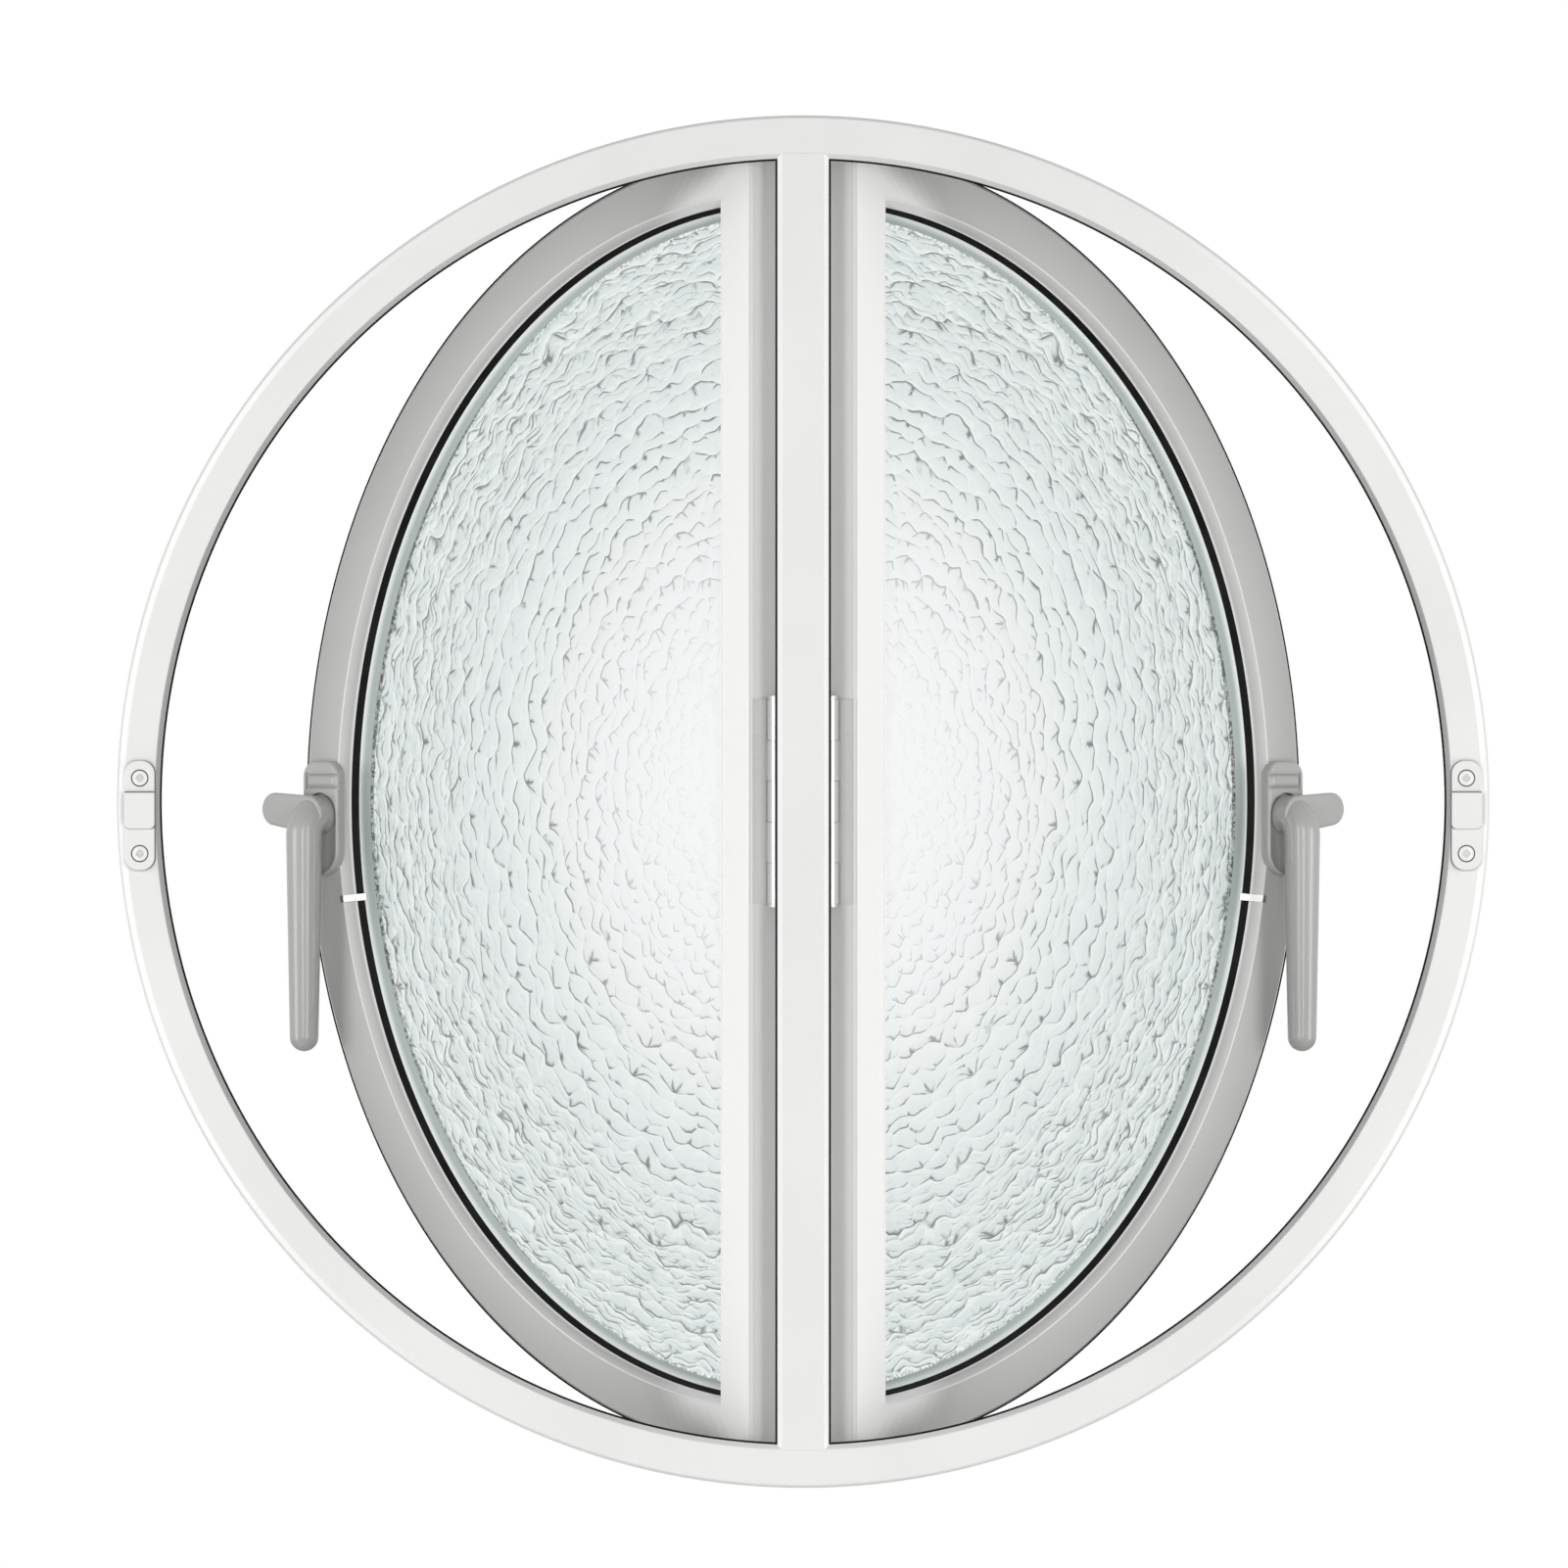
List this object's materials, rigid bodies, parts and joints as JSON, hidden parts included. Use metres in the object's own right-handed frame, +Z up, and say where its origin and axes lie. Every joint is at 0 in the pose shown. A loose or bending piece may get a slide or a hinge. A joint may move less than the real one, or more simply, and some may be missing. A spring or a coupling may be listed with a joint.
{
  "type": "round window",
  "caption": "Round window with a ring frame and centre mullion; its half-round sashes of obscure glass hang on the mullion, open outward, with lever handles.",
  "frame": {"origin": "centre of the ring, on the plane of the wall flange's back face", "axes": "+X right and +Z up as seen from the room, +Y along the ring's axis to the outside"},
  "size_m": [0.7999, 0.2952, 0.8],
  "materials": {
    "frame_paint": "white satin powder coat",
    "sash_paint": "white satin powder coat",
    "handle_paint": "pale grey satin paint",
    "obscure_glass": "hammered obscure glass",
    "black_rubber": "matt black",
    "glazing_tape": "matt white foam tape",
    "hinge_metal": "satin",
    "clip_steel": "bright spring steel"
  },
  "bodies": {
    "root": {"outer_frame": "frame_paint", "mullion": "frame_paint", "left_frame_seal": "black_rubber", "left_hinge_frame_leaf": "hinge_metal", "left_hinge_pin": "hinge_metal", "left_strike_plate": "frame_paint", "left_sash_frame": "sash_paint", "left_glazing_bead": "sash_paint", "left_inner_gasket": "black_rubber", "left_glass": "obscure_glass", "left_outer_gasket": "glazing_tape", "left_hinge_sash_leaf": "hinge_metal", "left_handle_backplate": "handle_paint", "left_handle_lever": "handle_paint", "left_glazing_clip": "clip_steel", "right_frame_seal": "black_rubber", "right_hinge_frame_leaf": "hinge_metal", "right_hinge_pin": "hinge_metal", "right_strike_plate": "frame_paint", "right_sash_frame": "sash_paint", "right_glazing_bead": "sash_paint", "right_inner_gasket": "black_rubber", "right_glass": "obscure_glass", "right_outer_gasket": "glazing_tape", "right_hinge_sash_leaf": "hinge_metal", "right_handle_backplate": "handle_paint", "right_handle_lever": "handle_paint", "right_glazing_clip": "clip_steel"}
  },
  "joints": []
}
